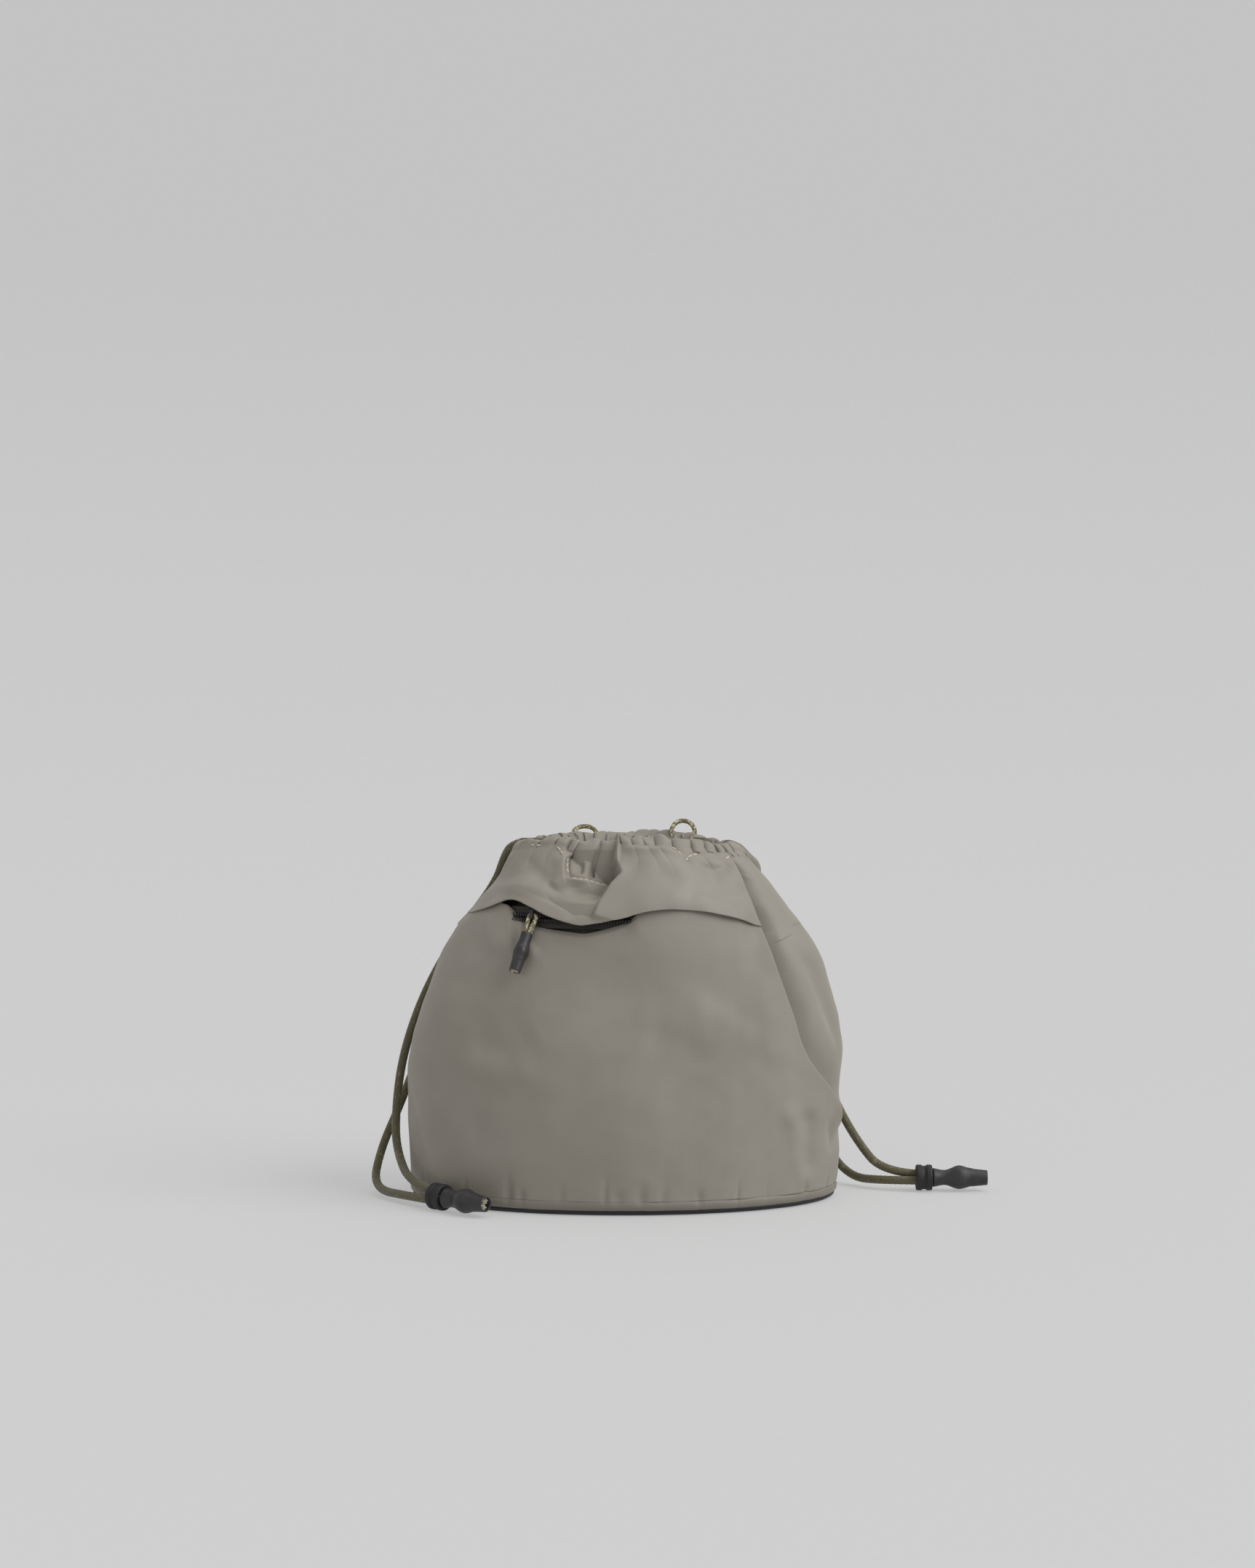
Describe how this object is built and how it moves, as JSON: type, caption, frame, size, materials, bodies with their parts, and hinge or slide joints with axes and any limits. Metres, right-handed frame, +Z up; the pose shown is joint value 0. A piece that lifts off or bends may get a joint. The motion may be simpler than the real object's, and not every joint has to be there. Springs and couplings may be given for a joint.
{
  "type": "drawstring shoe bag",
  "caption": "Soft drawstring bag with a flat oval base, gathered mouth, corded side pulls with end sleeves, and a zipped front pocket under a yoke.",
  "frame": {"origin": "centre of the base's underside, where the bag stands", "axes": "+Z up; -Y is the front with the zipped pocket; +X is the right as seen from the front, and the bag is widest along X"},
  "size_m": [0.3566, 0.1571, 0.2165],
  "materials": {
    "shell_nylon": "matte woven nylon, grey-taupe",
    "base_band": "matte woven nylon strip",
    "base_black": "black coated woven nylon",
    "stiffener": "polyethylene board",
    "lining": "light woven polyester lining",
    "zip_tape": "woven polyester tape",
    "zip_coil": "nylon coil",
    "zip_metal": "black painted zinc",
    "drawcord": "braided olive-grey polyester cord",
    "pull_cord": "thin flecked olive and cream braid",
    "cord_core": "cut cord ends with a cream core",
    "shrink_rubber": "matte black shrunk tubing",
    "ring_rubber": "matte black moulded rubber"
  },
  "bodies": {
    "root": {"front_panel": "shell_nylon", "back_panel": "shell_nylon", "front_yoke": "shell_nylon", "back_yoke": "shell_nylon", "yoke_facing": "shell_nylon", "pocket_hem": "shell_nylon", "mouth_channel_front": "shell_nylon", "mouth_channel_back": "shell_nylon", "base_band": "base_band", "base_panel": "base_black", "base_board": "stiffener", "lining": "lining", "lining_base": "lining", "pocket_back": "lining", "zip_tape_lower": "zip_tape", "zip_tape_upper": "zip_tape", "zip_coil_lower": "zip_coil", "zip_coil_upper": "zip_coil", "zip_stop_left": "zip_metal", "zip_stop_right": "zip_metal", "drawcord_right_inner": "drawcord", "drawcord_left_inner": "drawcord", "drawcord_right_front": "drawcord", "drawcord_right_back": "drawcord", "drawcord_left_front": "drawcord", "drawcord_left_back": "drawcord", "strap_loop_left": "pull_cord", "strap_loop_right": "pull_cord", "cord_end_knot_right": "cord_core", "cord_end_knot_left": "cord_core", "cord_end_sleeve_right": "shrink_rubber", "cord_end_sleeve_left": "shrink_rubber"},
    "zip_slider": {"zip_slider": "zip_metal"},
    "zip_pull": {"zip_pull_cord": "pull_cord", "zip_pull_sleeve": "shrink_rubber", "zip_pull_knot": "cord_core"},
    "right_ring": {"cord_ring_right": "ring_rubber"},
    "left_ring": {"cord_ring_left": "ring_rubber"}
  },
  "joints": [
    {"name": "zip_travel", "type": "hinge", "parent": "root", "child": "zip_slider", "pos_m": [0, 0.07466, 0.164], "axis": [0, 0, 1], "range_deg": [-3.9, 49]},
    {"name": "zip_pull_swing", "type": "hinge", "parent": "zip_slider", "child": "zip_pull", "pos_m": [-0.05059, -0.04687, 0.16535], "axis": [0.9232, -0.3843, 0], "range_deg": [-60, 0]},
    {"name": "right_ring_slide", "type": "slide", "parent": "root", "child": "right_ring", "axis": [-0.9998, 0.0175, 0], "range_m": [0, 0.005]},
    {"name": "left_ring_slide", "type": "slide", "parent": "root", "child": "left_ring", "axis": [-0.7431, 0.6691, 0], "range_m": [0, 0.005]}
  ]
}
